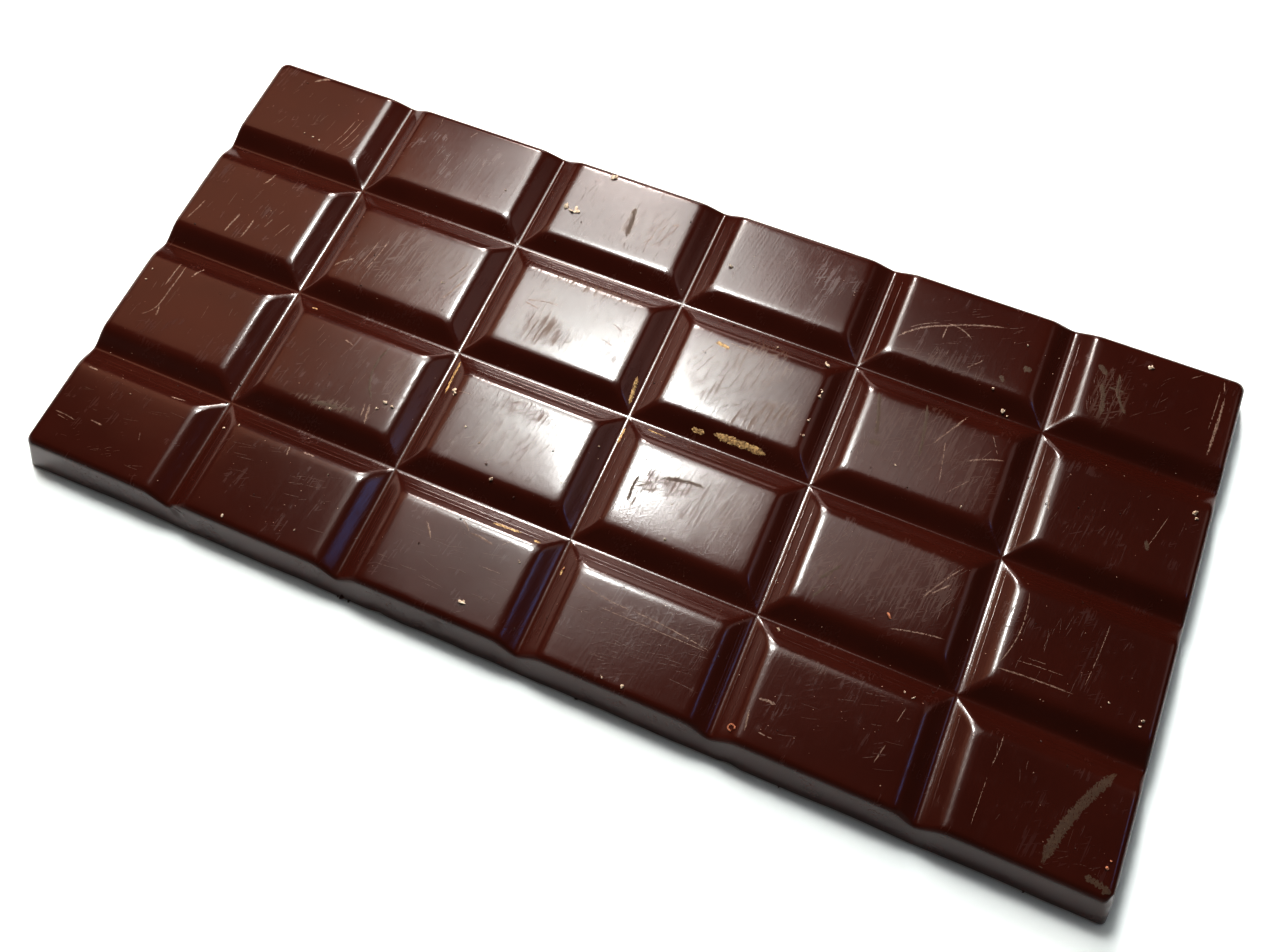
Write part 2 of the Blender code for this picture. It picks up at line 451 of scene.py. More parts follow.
# Groups of fine scratches: middle, half lengths of the area, direction, count and length.
BRUSHED = [
    ((-40.0, 28.0), (6.5, 3.6), 80, 34, 3.6),
    ((-66.0, 29.0), (10.0, 6.0), 72, 16, 2.4),
    ((-68.0, 11.0), (9.0, 5.5), 78, 18, 2.0),
    ((-66.0, -9.0), (10.0, 6.0), 84, 14, 2.0),
    ((-66.0, -29.0), (10.0, 6.0), 10, 16, 2.2),
    ((-68.5, -34.4), (3.4, 1.2), 30, 16, 1.2),
    ((-41.5, 11.0), (8.5, 5.6), 82, 60, 3.2),
    ((-38.6, 11.5), (1.2, 5.0), 84, 16, 4.0),
    ((-41.0, -9.0), (8.5, 5.6), 76, 34, 2.0),
    ((-41.0, -29.0), (8.5, 5.4), 15, 22, 2.4),
    ((-12.4, 29.6), (0.5, 2.4), 98, 14, 2.6),
    ((-13.5, 30.5), (8.5, 5.6), 85, 44, 2.6),
    ((-10.5, 25.6), (4.0, 0.7), 95, 18, 1.0),
    ((-16.6, 7.2), (3.6, 2.2), 94, 54, 1.8),
    ((-13.0, 16.6), (7.8, 0.9), 92, 40, 1.6),
    ((-14.0, 11.0), (8.5, 5.6), 86, 40, 2.2),
    ((-14.0, -5.6), (4.6, 1.2), 92, 44, 1.6),
    ((-15.5, -10.5), (7.5, 4.6), 65, 60, 1.6),
    ((-14.0, -29.0), (8.5, 5.0), 6, 34, 3.0),
    ((13.6, 29.5), (8.5, 5.6), 80, 34, 2.2),
    ((14.0, 11.0), (8.5, 5.6), 60, 60, 2.2),
    ((16.0, 7.5), (7.0, 2.2), 45, 46, 1.2),
    ((12.0, -7.5), (7.5, 4.5), 60, 70, 1.8),
    ((9.0, -8.5), (3.0, 1.0), 28, 26, 1.6),
    ((15.0, -11.0), (6.5, 3.0), 75, 34, 2.0),
    ((13.5, -30.5), (8.8, 4.6), 8, 44, 3.0),
    ((15.5, -26.8), (7.5, 0.5), 22, 18, 1.5),
    ((38.6, 35.8), (2.0, 0.4), 80, 14, 0.9),
    ((40.5, 29.0), (8.0, 5.6), 30, 34, 2.0),
    ((37.6, 25.6), (1.6, 0.8), 80, 16, 1.2),
    ((36.5, 11.0), (5.5, 5.6), 84, 50, 3.0),
    ((45.0, 12.0), (5.0, 5.0), 55, 34, 2.2),
    ((33.2, -9.0), (2.0, 4.5), 62, 34, 2.6),
    ((42.0, -8.5), (7.5, 5.4), 78, 56, 2.4),
    ((48.5, -7.0), (2.2, 3.6), 56, 26, 2.6),
    ((41.0, -29.0), (8.5, 5.4), 12, 16, 2.2),
    ((40.0, -24.0), (6.5, 1.0), 40, 18, 1.0),
    ((60.8, 28.5), (2.2, 3.4), 100, 34, 1.6),
    ((68.0, 29.0), (7.0, 6.0), 45, 12, 2.2),
    ((67.0, 10.5), (8.5, 5.6), 70, 9, 1.8),
    ((62.5, -9.0), (4.0, 5.4), 84, 10, 2.6),
    ((69.0, -9.0), (6.0, 5.4), 80, 7, 2.4),
    ((66.0, -29.0), (7.5, 5.6), 85, 10, 2.2),
    ((73.0, -34.0), (4.5, 1.4), 30, 10, 1.4),
]

# Broad dull smears: start, end, sideways bend and width.
SMEARS = [
    ((75.9, -21.6), (69.8, -36.4), -1.0, 1.75),
    ((74.8, -35.3), (78.2, -36.0), 0.1, 1.1),
    ((60.2, 29.8), (61.3, 24.7), 0.2, 0.9),
    ((62.3, 32.0), (62.5, 28.6), 0.0, 0.5),
    ((62.6, 29.2), (64.5, 26.0), -0.2, 0.6),
    ((59.0, 32.3), (60.5, 31.0), 0.2, 0.9),
    ((61.2, 29.3), (63.6, 29.3), 0.1, 0.4),
    ((49.4, 27.7), (50.7, 27.9), 0.0, 1.2),
    ((46.8, 25.5), (47.4, 24.5), 0.0, 0.8),
    ((38.6, 17.5), (40.0, 8.5), 0.2, 0.6),
    ((31.7, 16.5), (33.5, 9.6), 0.2, 0.7),
    ((32.8, 8.7), (34.5, 8.8), 0.0, 1.1),
    ((35.4, -9.7), (33.2, -12.8), 0.1, 0.6),
    ((34.5, -13.2), (33.3, -15.4), 0.0, 0.45),
    ((-43.1, -16.0), (-38.8, -15.3), 0.1, 0.8),
    ((-38.4, -15.1), (-36.8, -14.8), 0.0, 0.6),
    ((-12.8, 32.3), (-12.0, 26.6), 0.1, 0.9),
    ((-36.4, -3.5), (-34.6, -12.8), -1.6, 0.5),
    ((8.2, -7.6), (14.5, -6.6), 0.3, 0.7),
    ((5.3, -8.2), (5.4, -12.6), -0.2, 0.5),
    ((71.5, 9.0), (72.0, 7.6), 0.0, 0.7),
]

# Pale tan residue: start, end, sideways bend and width.
RESIDUE = [
    ((12.4, 1.75), (20.3, 1.60), 0.1, 0.95),
    ((9.2, 1.45), (11.1, 1.42), 0.0, 0.70),
    ((-10.6, -22.3), (-6.4, -22.1), 0.0, 0.42),
    ((-4.3, -22.5), (-3.3, -22.5), 0.0, 0.35),
    ((-1.25, 6.2), (-0.7, 1.8), 0.0, 0.55),
    ((0.25, -1.8), (0.15, -4.4), 0.0, 0.40),
    ((-26.4, -1.4), (-26.15, -7.0), 0.0, 0.45),
    ((3.4, -0.9), (6.2, -1.0), 0.0, 0.22),
    ((7.4, 15.1), (9.6, 14.8), 0.1, 0.55),
    ((-51.2, -1.9), (-50.2, -1.9), 0.0, 0.30),
    ((0.9, -24.0), (0.9, -25.4), 0.0, 0.35),
]


def clear_of_grooves(x, y, margin):
    across = nearest_groove(x, COLUMNS, COLUMN_PITCH)
    along = nearest_groove(y, ROWS, ROW_PITCH)
    return min(across, along) > margin and abs(x) < BAR_LENGTH / 2 - 4 and abs(y) < BAR_WIDTH / 2 - 4


def make_scratches(material):
    rng = np.random.default_rng(SEED)
    bits = Gathered("scratches")
    for start, end, bend, width in SCRATCHES:
        line = bent_line(start, end, bend, 0.16)
        line += 0.02 * rng.standard_normal(line.shape)
        lay_ribbon(bits, line, width, 0.018, rng, gaps=0.35)
    return bits.finish(material)


def make_fine_scratches(material):
    rng = np.random.default_rng(SEED + 9)
    bits = Gathered("fine_scratches")
    for middle, reach, direction, count, length in BRUSHED:
        for _ in range(count):
            centre = np.array(middle) + np.array(reach) * rng.uniform(-1, 1, 2)
            angle = math.radians(direction + rng.normal(0, 7))
            half = 0.5 * length * rng.uniform(0.4, 1.5) * np.array([math.cos(angle), math.sin(angle)])
            if clear_of_grooves(*(centre + half), 3.4) and clear_of_grooves(*(centre - half), 3.4):
                line = bent_line(centre - half, centre + half, rng.normal(0, 0.06), 0.2)
                lay_ribbon(bits, line, rng.uniform(0.05, 0.11), 0.013, rng, gaps=0.30)
    return bits.finish(material)


def make_smears(material):
    rng = np.random.default_rng(SEED + 1)
    bits = Gathered("smears")
    for start, end, bend, width in SMEARS:
        lay_ribbon(bits, bent_line(start, end, bend, 0.12), width, 0.012, rng, gaps=0.22, cell=0.1)
    return bits.finish(material)


def make_residue(material):
    rng = np.random.default_rng(SEED + 2)
    bits = Gathered("residue")
    for start, end, bend, width in RESIDUE:
        line = bent_line(start, end, bend, 0.1)
        line += 0.03 * rng.standard_normal(line.shape)
        lay_ribbon(bits, line, width, 0.06, rng, gaps=0.2, cell=0.1)
    return bits.finish(material)


# Fine lines that the mould left on the groove walls, by distance from the valley's middle.
MOULD_LINES_ACROSS = [(1.36, 2.55), (0.43, 1.21, 1.64), (0.87, 2.05), (0.6, 1.69, -0.82, -1.2), (0.58, 1.12)]
MOULD_LINES_ALONG = [(-1.9, -1.3), (-1.9, -1.2), (-2.16, -1.65, -1.05)]


def make_mould_lines(material):
    rng = np.random.default_rng(SEED + 3)
    bits = Gathered("mould_lines")
    for number, distances in enumerate(MOULD_LINES_ACROSS, start=1):
        groove = (number - COLUMNS / 2) * COLUMN_PITCH
        for distance in distances:
            for row in range(ROWS):
                low = (row - ROWS / 2) * ROW_PITCH + abs(distance) + 0.35
                high = (row + 1 - ROWS / 2) * ROW_PITCH - abs(distance) - 0.35
                low, high = max(low, 3.2 - BAR_WIDTH / 2), min(high, BAR_WIDTH / 2 - 3.2)
                x = groove + distance
                line = bent_line((x, low), (x, high), 0.03 * rng.normal(), 0.5)
                lay_ribbon(bits, line, 0.17, 0.042, rng, gaps=0.0)
    for number, distances in enumerate(MOULD_LINES_ALONG, start=1):
        groove = (number - ROWS / 2) * ROW_PITCH
        for distance in distances:
            for column in range(COLUMNS):
                low = (column - COLUMNS / 2) * COLUMN_PITCH + abs(distance) + 0.35
                high = (column + 1 - COLUMNS / 2) * COLUMN_PITCH - abs(distance) - 0.35
                low, high = max(low, 3.2 - BAR_LENGTH / 2), min(high, BAR_LENGTH / 2 - 3.2)
                y = groove + distance
                line = bent_line((low, y), (high, y), 0.03 * rng.normal(), 0.5)
                lay_ribbon(bits, line, 0.17, 0.042, rng, gaps=0.0)
    return bits.finish(material)


# Crumbs: place, size, and how long and flat each is.
PALE_CRUMBS = [
    ((-18.0, 36.0), 1.15, 0.65, 0.30),
    ((-24.7, -6.2), 0.75, 0.80, 0.50),
    ((-24.3, -6.7), 0.50, 0.90, 0.60),
    ((-33.0, -12.0), 0.65, 0.90, 0.50),
    ((-31.7, -12.3), 0.55, 0.80, 0.60),
    ((-33.7, -13.4), 0.45, 0.80, 0.50),
    ((-39.9, -15.9), 0.40, 0.80, 0.50),
    ((-13.6, -16.8), 0.70, 0.60, 0.60),
    ((-9.3, -34.2), 1.00, 0.50, 0.30),
    ((4.8, 27.8), 0.80, 0.40, 0.40),
    ((15.9, 18.0), 0.40, 0.80, 0.60),
    ((23.6, 17.9), 0.85, 0.55, 0.50),
    ((23.2, 18.4), 0.45, 0.70, 0.60),
    ((24.3, 13.4), 0.45, 0.70, 0.60),
    ((24.2, 12.5), 0.60, 0.60, 0.50),
    ((24.0, 8.4), 0.40, 0.80, 0.60),
    ((24.2, 6.0), 0.50, 0.70, 0.60),
    ((46.4, 23.05), 0.40, 0.90, 0.80),
    ((48.8, 20.8), 0.70, 0.60, 0.60),
    ((49.6, 20.5), 0.40, 0.60, 0.60),
    ((66.0, 34.5), 0.85, 0.70, 0.50),
    ((49.0, 31.5), 0.35, 0.80, 0.60),
    ((76.5, 15.3), 0.75, 0.70, 0.50),
    ((76.9, 14.5), 0.50, 0.60, 0.60),
    ((37.4, 6.6), 0.35, 0.80, 0.60),
    ((47.5, 4.2), 0.30, 0.80, 0.60),
    ((76.8, -14.7), 0.50, 0.70, 0.50),
    ((76.6, -15.5), 0.35, 0.70, 0.60),
    ((72.3, -14.0), 0.30, 0.80, 0.60),
    ((48.4, -22.6), 0.35, 0.80, 0.60),
    ((49.7, -22.9), 0.50, 0.60, 0.50),
    ((14.9, -36.1), 0.65, 0.60, 0.50),
    ((12.0, -36.1), 0.35, 0.80, 0.60),
    ((12.3, -15.6), 0.35, 0.90, 0.80),
    ((30.8, -20.96), 0.65, 0.50, 0.50),
    ((-53.2, -24.2), 0.40, 0.80, 0.60),
    ((-50.9, -23.2), 0.30, 0.80, 0.60),
    ((-32.9, 27.6), 0.30, 0.80, 0.60),
    ((-34.5, 9.0), 0.35, 0.80, 0.60),
    ((-68.0, 25.5), 0.28, 0.80, 0.60),
    ((-66.3, 25.3), 0.32, 0.70, 0.60),
    ((-65.1, 25.1), 0.32, 0.70, 0.60),
    ((-77.0, -5.6), 0.32, 0.70, 0.60),
    ((-76.9, -7.6), 0.35, 0.60, 0.60),
    ((-35.4, -34.0), 0.30, 0.80, 0.60),
    ((-35.1, -25.0), 0.30, 0.80, 0.60),
    ((-68.3, -25.0), 0.28, 0.80, 0.60),
    ((-45.8, -36.1), 0.55, 0.60, 0.50),
    ((-20.4, -11.0), 0.35, 0.60, 0.60),
    ((-17.5, -12.5), 0.35, 0.60, 0.60),
    ((-1.8, -6.2), 0.32, 0.80, 0.80),
    ((-4.6, -26.2), 0.30, 0.80, 0.60),
]
ORANGE_CRUMBS = [
    ((43.4, -14.0), 1.05, 0.45, 0.35),
    ((77.0, -33.4), 0.75, 0.80, 0.50),
    ((77.3, -32.4), 0.35, 0.80, 0.60),
    ((0.3, -3.5), 0.35, 0.70, 0.60),
    ((1.0, -24.4), 0.50, 0.70, 0.50),
]

def lump(bits, rng, place, size, slim, flat, sink=0.25):
    """Adds a crumb: a small faceted lump with broken faces, resting on the moulded face."""
    points, faces = LUMP
    scale = 0.5 * size * np.array([1, slim, flat])
    points = points * (1 + 0.16 * rng.uniform(-1, 1, (len(points), 1)))
    for _ in range(7):
        cut = rng.standard_normal(3)
        cut /= np.linalg.norm(cut)
        beyond = np.clip(points @ cut - rng.uniform(0.45, 0.85), 0, None)
        points = points - beyond[:, None] * cut
    points = points * scale
    tilt = Matrix.Rotation(rng.normal(0, 0.35), 3, "X") @ Matrix.Rotation(rng.normal(0, 0.35), 3, "Y")
    turned = np.array(Matrix.Rotation(rng.uniform(0, 2 * math.pi), 3, "Z") @ tilt)
    points = points @ turned.T
    low = points[:, 2].min()
    ground = place[2] if len(place) > 2 else float(top_height(place[0], place[1]))
    points += np.array([place[0], place[1], ground - low * (1 - sink)])
    bits.add(points, faces)


def lump_form():
    bm = bmesh.new()
    bmesh.ops.create_icosphere(bm, subdivisions=2, radius=1)
    points = np.array([vert.co for vert in bm.verts])
    faces = np.array([[vert.index for vert in face.verts] for face in bm.faces])
    bm.free()
    return points, faces


LUMP = lump_form()


def make_pale_crumbs(material):
    rng = np.random.default_rng(SEED + 4)
    bits = Gathered("pale_crumbs")
    for place, size, slim, flat in PALE_CRUMBS:
        lump(bits, rng, place, 1.2 * size, slim, flat)
        lump(bits, rng, np.array(place) + rng.normal(0, 0.3 * size, 2), 0.6 * size, slim, flat)
    for part in range(6):
        angle = part * 2.4
        reach = np.array([1.1 * math.cos(angle), 0.35 * math.sin(angle)])
        lump(bits, rng, STAR_CRUMB + reach, 1.2, 0.45, 0.22)
    return bits.finish(material, smooth=False)


def make_orange_crumbs(material):
    rng = np.random.default_rng(SEED + 5)
    bits = Gathered("orange_crumbs")
    for place, size, slim, flat in ORANGE_CRUMBS:
        lump(bits, rng, place, size, slim, flat)
    for part in range(11):
        angle = part * 2 * math.pi / 13
        spot = RING_CRUMB + 0.42 * np.array([math.cos(angle), math.sin(angle)])
        lump(bits, rng, spot, 0.34, 0.9, 0.8)
    return bits.finish(material, smooth=False)


def make_specks(material):
    """Tiny pale specks over the blocks, thickest where the bar was handled most."""
    rng = np.random.default_rng(SEED + 6)
    bits = Gathered("specks")
    while bits.count < 300 * len(LUMP[0]):
        x, y = rng.uniform(-1, 1, 2) * (BAR_LENGTH / 2 - 4, BAR_WIDTH / 2 - 4)
        crowd = 0.5 + 0.5 * smooth_noise(x, y, 13, SEED + 8)
        if rng.uniform() < crowd**2:
            lump(bits, rng, (x, y), rng.uniform(0.07, 0.19), 0.8, 0.6)
    return bits.finish(material, smooth=False)


def make_dark_crumbs(material):
    """Small dark flakes of chocolate on the face, and a few at the foot of the front side."""
    rng = np.random.default_rng(SEED + 7)
    bits = Gathered("dark_crumbs")
    for _ in range(110):
        x, y = rng.uniform(-1, 1, 2) * (BAR_LENGTH / 2 - 4, BAR_WIDTH / 2 - 4)
        lump(bits, rng, (x, y), rng.uniform(0.12, 0.38), 0.7, 0.5)
    for x, size in FOOT_CRUMBS:
        lump(bits, rng, (x, 0.1 - BAR_WIDTH / 2, 0.0), size, 0.5, 0.6, sink=0)
    return bits.finish(material, smooth=False)


STAR_CRUMB = np.array([-21.9, 28.3])
RING_CRUMB = np.array([29.7, -35.4])
FOOT_CRUMBS = [(-27.1, 1.1), (-26.2, 0.7), (-28.0, 0.5), (9.0, 0.6), (38.0, 0.5), (70.5, 0.5)]


# Materials ---------------------------------------------------------------------------------


class Nodes:
    """Short calls for building one material's node tree."""

    def __init__(self, name):
        self.material = bpy.data.materials.new(name)
        self.material.use_nodes = True
        self.tree = self.material.node_tree
        self.shader = self.tree.nodes["Principled BSDF"]

    def add(self, kind, **settings):
        node = self.tree.nodes.new(kind)
        for key, value in settings.items():
            setattr(node, key, value)
        return node

    def join(self, source, socket):
        if isinstance(source, (int, float)):
            socket.default_value = source
        elif isinstance(source, tuple):
            socket.default_value = source
        else:
            self.tree.links.new(source, socket)

    def math(self, operation, first, second=0.0, third=None, clamp=False):
        node = self.add("ShaderNodeMath", operation=operation, use_clamp=clamp)
        self.join(first, node.inputs[0])
        self.join(second, node.inputs[1])
        if third is not None:
            self.join(third, node.inputs[2])
        return node.outputs[0]

    def mix(self, factor, first, second):
        node = self.add("ShaderNodeMix", data_type="RGBA")
        self.join(factor, node.inputs[0])
        self.join(first, node.inputs[6])
        self.join(second, node.inputs[7])
        return node.outputs[2]

    def ramp(self, value, low, high, to_low=0.0, to_high=1.0):
        node = self.add("ShaderNodeMapRange", interpolation_type="SMOOTHSTEP")
        self.join(value, node.inputs[0])
        for number, setting in enumerate((low, high, to_low, to_high), start=1):
            self.join(setting, node.inputs[number])
        return node.outputs[0]

    def millimetres(self):
        """The object's own coordinates, in millimetres."""
        place = self.add("ShaderNodeTexCoord").outputs["Object"]
        scale = self.add("ShaderNodeVectorMath", operation="SCALE")
        self.join(place, scale.inputs[0])
        scale.inputs["Scale"].default_value = 1 / MM
        return scale.outputs[0]

    def noise(self, place, size, detail=2.0, rough=0.5, stretch=(1, 1, 1), turn=0.0, shift=0.0):
        """Noise with features of about this size, drawn out along a turned direction."""
        mapping = self.add("ShaderNodeMapping", vector_type="TEXTURE")
        self.join(place, mapping.inputs["Vector"])
        mapping.inputs["Location"].default_value = (shift, -shift, shift)
        mapping.inputs["Rotation"].default_value = (0, 0, math.radians(turn))
        mapping.inputs["Scale"].default_value = tuple(size * value for value in stretch)
        texture = self.add("ShaderNodeTexNoise")
        self.join(mapping.outputs[0], texture.inputs["Vector"])
        texture.inputs["Scale"].default_value = 1.0
        texture.inputs["Detail"].default_value = detail
        texture.inputs["Roughness"].default_value = rough
        return texture.outputs["Fac"]

    def attribute(self, name):
        return self.add("ShaderNodeAttribute", attribute_name=name).outputs["Fac"]

    def bump(self, height, distance, normal=None):
        """A bump whose height of 1 stands for a distance in millimetres."""
        node = self.add("ShaderNodeBump")
        self.join(height, node.inputs["Height"])
        node.inputs["Strength"].default_value = 1.0
        node.inputs["Distance"].default_value = distance * MM
        if normal is not None:
            self.join(normal, node.inputs["Normal"])
        return node.outputs[0]


CHOCOLATE_DARK = (0.047, 0.0074, 0.0032, 1)
CHOCOLATE_PALE = (0.057, 0.0098, 0.0046, 1)
SCUFFED_BROWN = (0.095, 0.046, 0.026, 1)

# Scuffed places: middle, half lengths, direction, and how strongly gloss and colour change.
SCUFFS = [
    ((-16.6, 7.0), (4.2, 2.8), 5, 0.9, 1.0),
    ((-12.5, 16.6), (8.0, 1.1), 2, 0.7, 0.8),
    ((-19.0, 11.0), (2.4, 4.0), 15, 0.5, 0.6),
    ((-14.0, -5.4), (4.6, 1.7), 4, 0.8, 0.9),
    ((-15.0, -11.0), (7.0, 3.6), 20, 0.45, 0.4),
    ((12.5, 12.5), (7.5, 5.0), 30, 0.6, 0.7),
    ((17.5, 6.5), (5.5, 2.4), 20, 0.8, 0.9),
    ((9.0, 8.0), (2.0, 3.4), 70, 0.5, 0.6),
    ((6.2, -10.0), (1.2, 3.6), -12, 0.8, 1.0),
    ((10.0, -8.2), (5.0, 1.6), 14, 0.8, 1.0),
    ((16.5, -9.0), (6.0, 4.6), 60, 0.5, 0.5),
    ((14.0, -26.6), (10.0, 0.8), -4, 0.5, 0.15),
    ((43.5, -9.0), (8.8, 5.6), 0, 0.7, 0.22),
    ((33.2, -12.0), (1.8, 3.2), -30, 0.9, 0.35),
    ((39.0, 12.0), (7.0, 5.6), 20, 0.6, 0.20),
    ((48.0, 9.0), (3.6, 5.0), 50, 0.6, 0.22),
    ((-32.6, -8.0), (2.4, 5.4), 6, 0.9, 0.45),
    ((-41.0, -15.4), (4.8, 1.0), 6, 0.8, 0.8),
    ((-41.0, 10.5), (8.6, 5.8), 15, 0.45, 0.25),
    ((-7.5, 29.5), (3.0, 4.0), 60, 0.6, 0.3),
    ((-12.4, 29.4), (0.8, 3.0), 6, 0.9, 1.0),
    ((61.5, 28.0), (3.0, 4.6), 10, 0.7, 0.40),
    ((40.0, 24.2), (7.0, 1.2), 0, 0.6, 0.25),
    ((36.0, -24.0), (4.6, 1.0), 0, 0.5, 0.25),
]


def mark_scuffs(points):
    """How scuffed each point of the bar is: a measure for gloss and one for colour."""
    gloss, tint = np.zeros(len(points)), np.zeros(len(points))
    ragged = 0.22 * smooth_noise(points[:, 0], points[:, 1], 1.6, SEED + 11)
    for middle, reach, direction, dulling, browning in SCUFFS:
        turn = math.radians(direction)
        offset = points[:, :2] - np.array(middle)
        along = offset @ np.array([math.cos(turn), math.sin(turn)]) / reach[0]
        across = offset @ np.array([-math.sin(turn), math.cos(turn)]) / reach[1]
        inside = smooth_step((1.15 - np.hypot(along, across) + ragged) / 0.5)
        gloss = np.maximum(gloss, dulling * inside)
        tint = np.maximum(tint, browning * inside)
    return {"gloss_wear": gloss, "brown_wear": tint}


def chocolate_material():
    n = Nodes("dark_chocolate_moulded")
    place = n.millimetres()
    mottle = n.ramp(n.noise(place, 14, detail=3), 0.3, 0.7)
    streaks = n.ramp(n.noise(place, 0.30, detail=3, stretch=(1, 14, 1), turn=-8), 0.46, 0.62)
    crossed = n.ramp(n.noise(place, 0.26, detail=2, stretch=(1, 9, 1), turn=-58, shift=7), 0.54, 0.70)
    brushed = n.math("MAXIMUM", streaks, crossed)
    patches = n.ramp(n.noise(place, 5.0, detail=3, rough=0.6, shift=31), 0.44, 0.70, 0.0, 0.55)
    grain = n.ramp(n.noise(place, 0.8, detail=3, rough=0.7, shift=13), 0.36, 0.60)
    blotched = n.math("MAXIMUM", n.math("MULTIPLY", grain, 0.45), brushed)
    scuffed = n.math("MULTIPLY", n.attribute("gloss_wear"), blotched)
    worn = n.math("MAXIMUM", n.math("MULTIPLY", brushed, patches), scuffed)
    tinted = n.math("MULTIPLY", n.attribute("brown_wear"), brushed)
    plain = n.mix(mottle, CHOCOLATE_DARK, CHOCOLATE_PALE)
    n.join(n.mix(tinted, plain, SCUFFED_BROWN), n.shader.inputs["Base Color"])
    n.join(n.ramp(worn, 0.0, 1.0, 0.19, 0.54), n.shader.inputs["Roughness"])
    n.shader.inputs["IOR"].default_value = 1.5
    skin = n.bump(n.noise(place, 0.9, detail=2, shift=3), 0.004)
    n.join(n.bump(brushed, 0.0025, skin), n.shader.inputs["Normal"])
    return n.material


def mark_material(name, dark, pale, roughness):
    """A dry, crumbly surface whose colour wanders between two tones."""
    n = Nodes(name)
    place = n.millimetres()
    tone = n.noise(place, 0.35, detail=3, rough=0.7)
    n.join(n.mix(n.ramp(tone, 0.32, 0.68), dark, pale), n.shader.inputs["Base Color"])
    n.shader.inputs["Roughness"].default_value = roughness
    n.join(n.bump(n.noise(place, 0.12, detail=2), 0.01), n.shader.inputs["Normal"])
    return n.material


def mould_line_material():
    n = Nodes("chocolate_ridge")
    place = n.millimetres()
    n.join(
        n.mix(n.noise(place, 3), CHOCOLATE_DARK, CHOCOLATE_PALE),
        n.shader.inputs["Base Color"],
    )
    n.join(n.ramp(n.noise(place, 1.2), 0.3, 0.7, 0.14, 0.24), n.shader.inputs["Roughness"])
    return n.material


surface_points = np.array([vert.co for vert in bar.data.vertices]) / MM
for wear_name, wear in mark_scuffs(surface_points).items():
    bar.data.attributes.new(wear_name, "FLOAT", "POINT").data.foreach_set("value", wear)
bar.data.materials.append(chocolate_material())
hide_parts("chocolate_bar")
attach(bar, "root")

make_mould_lines(mould_line_material())
make_scratches(mark_material("scratched_chocolate", (0.10, 0.048, 0.030, 1), (0.25, 0.165, 0.125, 1), 0.55))
make_fine_scratches(mark_material("brushed_chocolate", (0.056, 0.016, 0.009, 1), (0.115, 0.060, 0.041, 1), 0.5))
make_smears(mark_material("dulled_chocolate", (0.055, 0.024, 0.011, 1), (0.078, 0.041, 0.021, 1), 0.62))
make_residue(mark_material("tan_residue", (0.20, 0.115, 0.055, 1), (0.60, 0.42, 0.22, 1), 0.6))
make_pale_crumbs(mark_material("pale_crumb", (0.36, 0.25, 0.18, 1), (0.66, 0.56, 0.46, 1), 0.6))
make_orange_crumbs(mark_material("orange_crumb", (0.30, 0.11, 0.055, 1), (0.48, 0.24, 0.15, 1), 0.55))
make_specks(mark_material("pale_speck", (0.35, 0.22, 0.16, 1), (0.60, 0.45, 0.36, 1), 0.6))
make_dark_crumbs(mark_material("dark_crumb", (0.035, 0.010, 0.006, 1), (0.085, 0.030, 0.018, 1), 0.45))


# Floor, light and camera ------------------------------------------------------------------


def make_floor():
    """A pale table. Far from the lamps it glows a little: painted light, standing in for the light a table in a
    bright room would get.
    """
    mesh = bpy.data.meshes.new("floor")
    half = 3.0
    corners = [(-half, -half, 0), (half, -half, 0), (half, half, 0), (-half, half, 0)]
    mesh.from_pydata(corners, [], [(0, 1, 2, 3)])
    n = Nodes("white_table")
    place = n.millimetres()
    tone = n.ramp(n.noise(place, 60, detail=3), 0.3, 0.7)
    n.join(n.mix(tone, (0.89, 0.90, 0.91, 1), (0.93, 0.93, 0.93, 1)), n.shader.inputs["Base Color"])
    n.join(n.ramp(n.noise(place, 5, detail=2), 0.3, 0.7, 0.55, 0.65), n.shader.inputs["Roughness"])
    away = n.add("ShaderNodeVectorMath", operation="LENGTH")
    n.join(place, away.inputs[0])
    # Painted light: the table's emission rises from nothing at 0.22 m from the middle to 0.75 at 0.9 m.
    n.join((0.97, 0.98, 1, 1), n.shader.inputs["Emission Color"])
    n.join(n.ramp(away.outputs["Value"], 220, 900, 0.0, 0.75), n.shader.inputs["Emission Strength"])
    mesh.materials.append(n.material)
    floor = bpy.data.objects.new("floor", mesh)
    bpy.context.scene.collection.objects.link(floor)


# Each light: azimuth from the back towards the right, elevation and half-angle in degrees,
# distance in metres, radiance and colour.
LIGHTS = [
    ("lamp", -31.0, 66.9, 4.2, 0.32, 92.0, (0.96, 1, 0.99)),
    ("lamp_shade", -30, 56.6, 13, 0.33, 11.0, (0.94, 1, 0.98)),
    ("left_glow", -43.6, 67, 13, 0.5, 3.9, (0.95, 1, 0.96)),
    ("right_glow", 3, 66.4, 9.6, 0.5, 4.0, (0.95, 1, 0.96)),
    ("back_light", -24, 42, 4.6, 0.7, 74.0, (1, 0.96, 0.92)),
    ("low_back_light", -12, 22, 10, 0.9, 3.5, (1, 0.95, 0.90)),
    ("warm_card", -60, 46, 12, 0.9, 2.0, (1, 0.66, 0.46)),
    ("left_card", -70, 16, 14, 0.7, 2.0, (1, 0.85, 0.75)),
    ("right_card", 58, 44, 12, 0.9, 1.2, (1, 0.95, 0.92)),
    ("blue_card", 76, 48, 4.2, 0.9, 6.0, (0.14, 0.42, 1)),
]


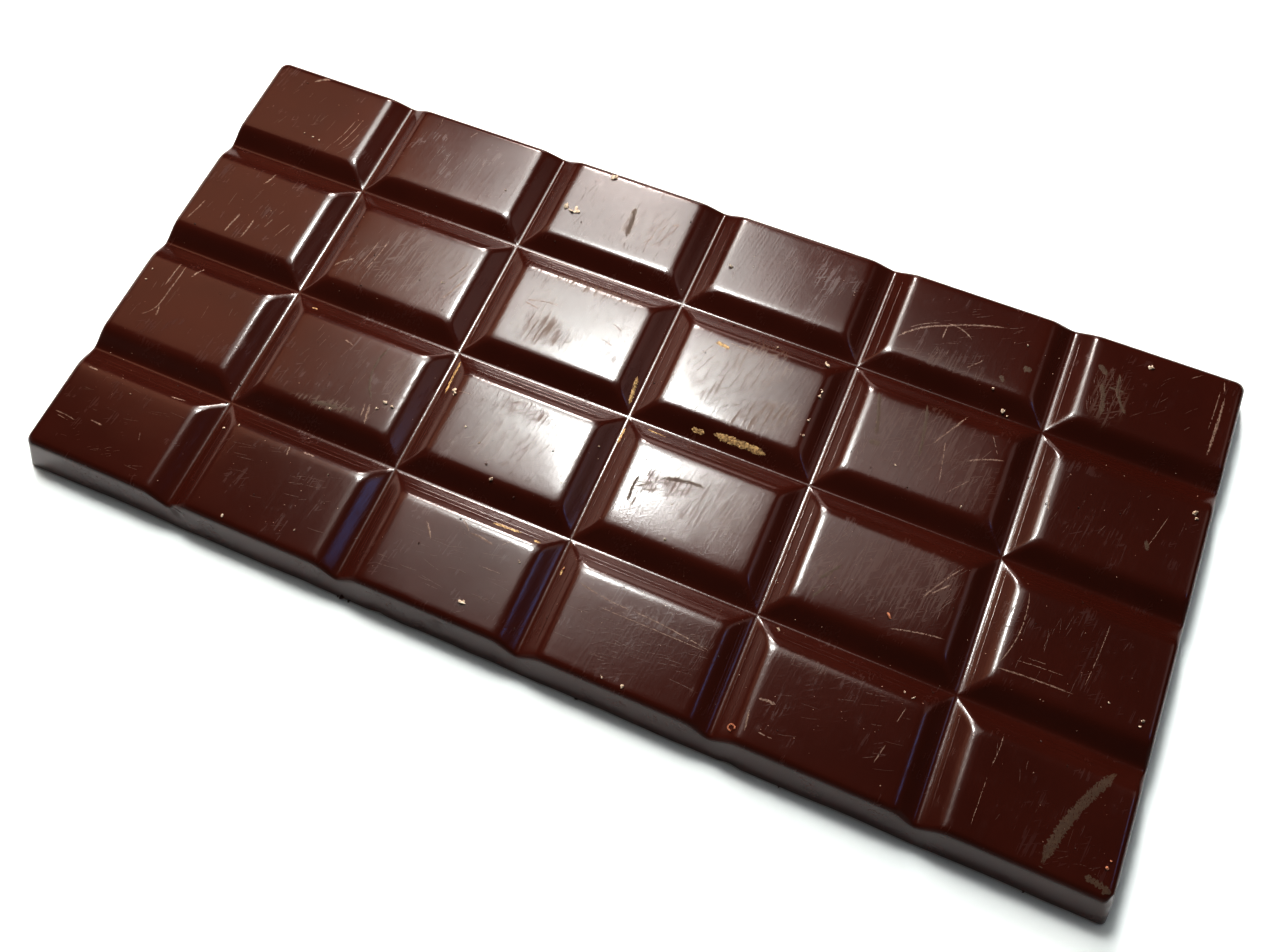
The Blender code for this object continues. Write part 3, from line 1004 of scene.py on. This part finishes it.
def make_lights():
    for name, azimuth, elevation, spread, distance, radiance, colour in LIGHTS:
        azimuth, elevation = math.radians(azimuth), math.radians(elevation)
        direction = Vector(
            (
                math.cos(elevation) * math.sin(azimuth),
                math.cos(elevation) * math.cos(azimuth),
                math.sin(elevation),
            )
        )
        radius = distance * math.tan(math.radians(spread))
        light = bpy.data.lights.new(name, "AREA")
        light.shape = "DISK"
        light.size = 2 * radius
        light.energy = radiance * math.pi * math.pi * radius**2
        light.color = colour
        lamp = bpy.data.objects.new(name, light)
        lamp.location = direction * distance
        lamp.rotation_euler = direction.to_track_quat("Z", "Y").to_euler()
        lamp.visible_camera = False
        bpy.context.scene.collection.objects.link(lamp)


ROOM_COLOUR = (0.052, 0.053, 0.044, 1)
FRONT_WALL_COLOUR = (0.42, 0.42, 0.40, 1)
BACKDROP_COLOUR = (0.85, 0.86, 0.87, 1)


def make_world():
    """A dim room with a paler low wall at the front, behind a backdrop that only the camera sees."""
    world = bpy.data.worlds.new("room")
    bpy.context.scene.world = world
    world.use_nodes = True
    nodes, links = world.node_tree.nodes, world.node_tree.links

    def band(direction, low, high):
        node = nodes.new("ShaderNodeMapRange")
        node.interpolation_type = "SMOOTHSTEP"
        node.inputs[1].default_value, node.inputs[2].default_value = low, high
        links.new(direction, node.inputs[0])
        return node.outputs[0]

    def mix(factor, first, second):
        node = nodes.new("ShaderNodeMix")
        node.data_type = "RGBA"
        links.new(factor, node.inputs[0])
        for socket, source in ((node.inputs[6], first), (node.inputs[7], second)):
            if isinstance(source, tuple):
                socket.default_value = source
            else:
                links.new(source, socket)
        return node.outputs[2]

    split = nodes.new("ShaderNodeSeparateXYZ")
    links.new(nodes.new("ShaderNodeTexCoord").outputs["Generated"], split.inputs[0])
    wall = nodes.new("ShaderNodeMath")
    wall.operation = "MULTIPLY"
    links.new(band(split.outputs[1], 0.15, -0.35), wall.inputs[0])
    links.new(band(split.outputs[2], 0.62, 0.30), wall.inputs[1])
    room = mix(wall.outputs[0], ROOM_COLOUR, FRONT_WALL_COLOUR)
    seen = nodes.new("ShaderNodeLightPath").outputs["Is Camera Ray"]
    links.new(mix(seen, room, BACKDROP_COLOUR), nodes["Background"].inputs["Color"])


CAMERA_PLACE = (32.0, -57.6, 146.5)
CAMERA_AIM = (4.16, -6.0, 0.0)
CAMERA_ROLL = math.radians(-5.42)
CAMERA_LENS = 30.48


def make_camera():
    camera = bpy.data.cameras.new("camera")
    camera.sensor_width = 36
    camera.lens = CAMERA_LENS
    camera.clip_start = 0.01
    forward = (Vector(CAMERA_AIM) - Vector(CAMERA_PLACE)).normalized()
    level = forward.cross(Vector((0, 0, 1))).normalized()
    above = level.cross(forward)
    right = level * math.cos(CAMERA_ROLL) + above * math.sin(CAMERA_ROLL)
    up = right.cross(forward)
    holder = bpy.data.objects.new("camera", camera)
    holder.matrix_world = Matrix.Translation(Vector(CAMERA_PLACE) * MM) @ Matrix(
        (right, up, -forward)
    ).transposed().to_4x4()
    bpy.context.scene.collection.objects.link(holder)
    bpy.context.scene.camera = holder


make_floor()
make_lights()
make_world()
make_camera()
bpy.context.scene.view_settings.view_transform = "Standard"
bpy.context.scene.view_settings.gamma = 0.68
bpy.context.scene.view_settings.exposure = 0.15

bpy.context.view_layer.update()
